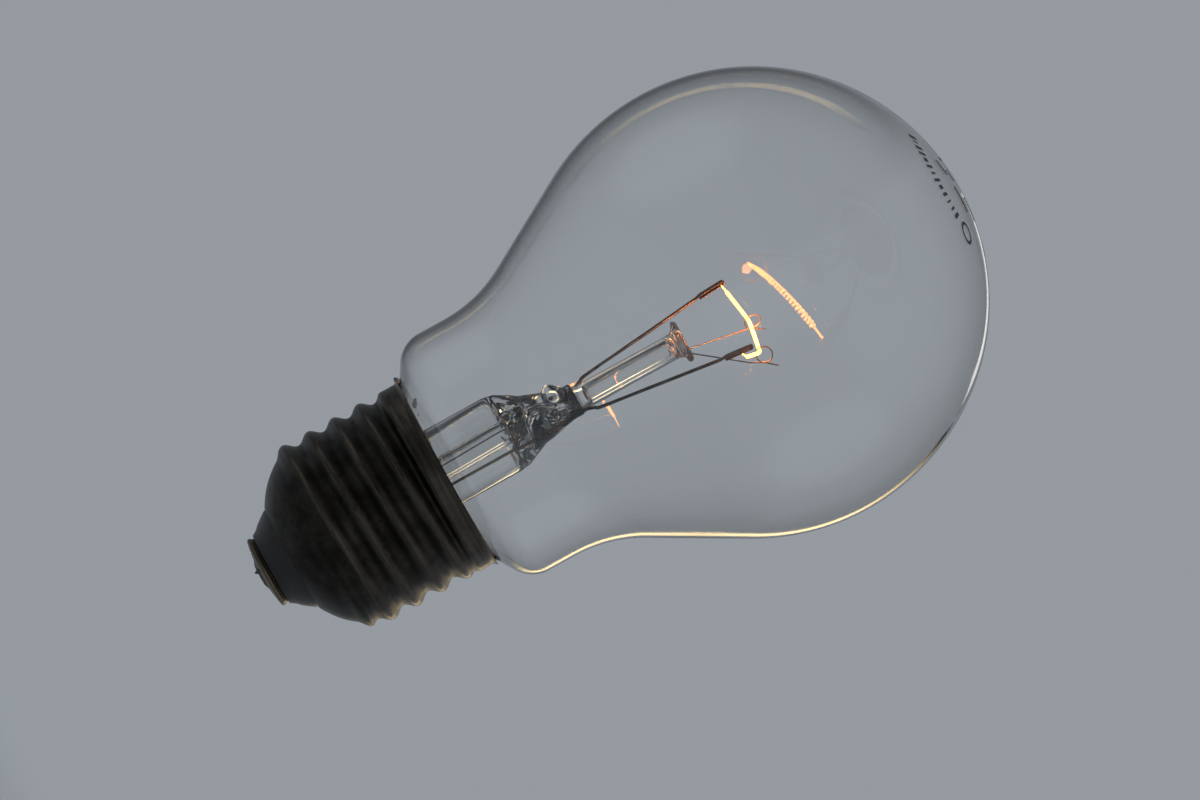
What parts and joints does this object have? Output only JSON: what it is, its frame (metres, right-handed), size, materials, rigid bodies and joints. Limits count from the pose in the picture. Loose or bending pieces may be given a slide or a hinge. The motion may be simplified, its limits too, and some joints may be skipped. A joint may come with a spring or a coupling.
{
  "type": "clear screw-cap light bulb",
  "caption": "Clear pear-shaped incandescent light bulb with a glass stem, wire leads, a coiled glowing filament on fine supports, and a worn screw cap.",
  "frame": {"origin": "middle of the worn flat of the solder on the centre contact", "axes": "+Z along the bulb's axis towards the crown, and X in the plane of the two inner leads"},
  "size_m": [0.06, 0.06, 0.1021],
  "materials": {
    "clear_glass": "gloss",
    "stem_glass": "gloss",
    "lead_metal": "satin",
    "support_metal": "satin",
    "seal_metal": "satin",
    "copper_lead": "satin",
    "hot_filament": "matte",
    "cap_metal": "satin",
    "black_glass": "gloss",
    "contact_metal": "satin",
    "cement": "matte",
    "solder": "satin"
  },
  "bodies": {
    "root": {"glass_envelope": "clear_glass", "stem_flare": "stem_glass", "exhaust_tube": "stem_glass", "support_rod": "stem_glass", "support_wire_1": "support_metal", "support_wire_2": "support_metal", "inner_lead_1": "lead_metal", "inner_lead_2": "lead_metal", "seal_wire_1": "seal_metal", "seal_wire_2": "seal_metal", "outer_lead_1": "copper_lead", "outer_lead_2": "copper_lead", "filament": "hot_filament", "cap_shell": "cap_metal", "cap_insulator": "black_glass", "contact_plate": "contact_metal", "basing_cement": "cement", "tip_solder": "solder", "rim_solder": "solder"}
  },
  "joints": []
}
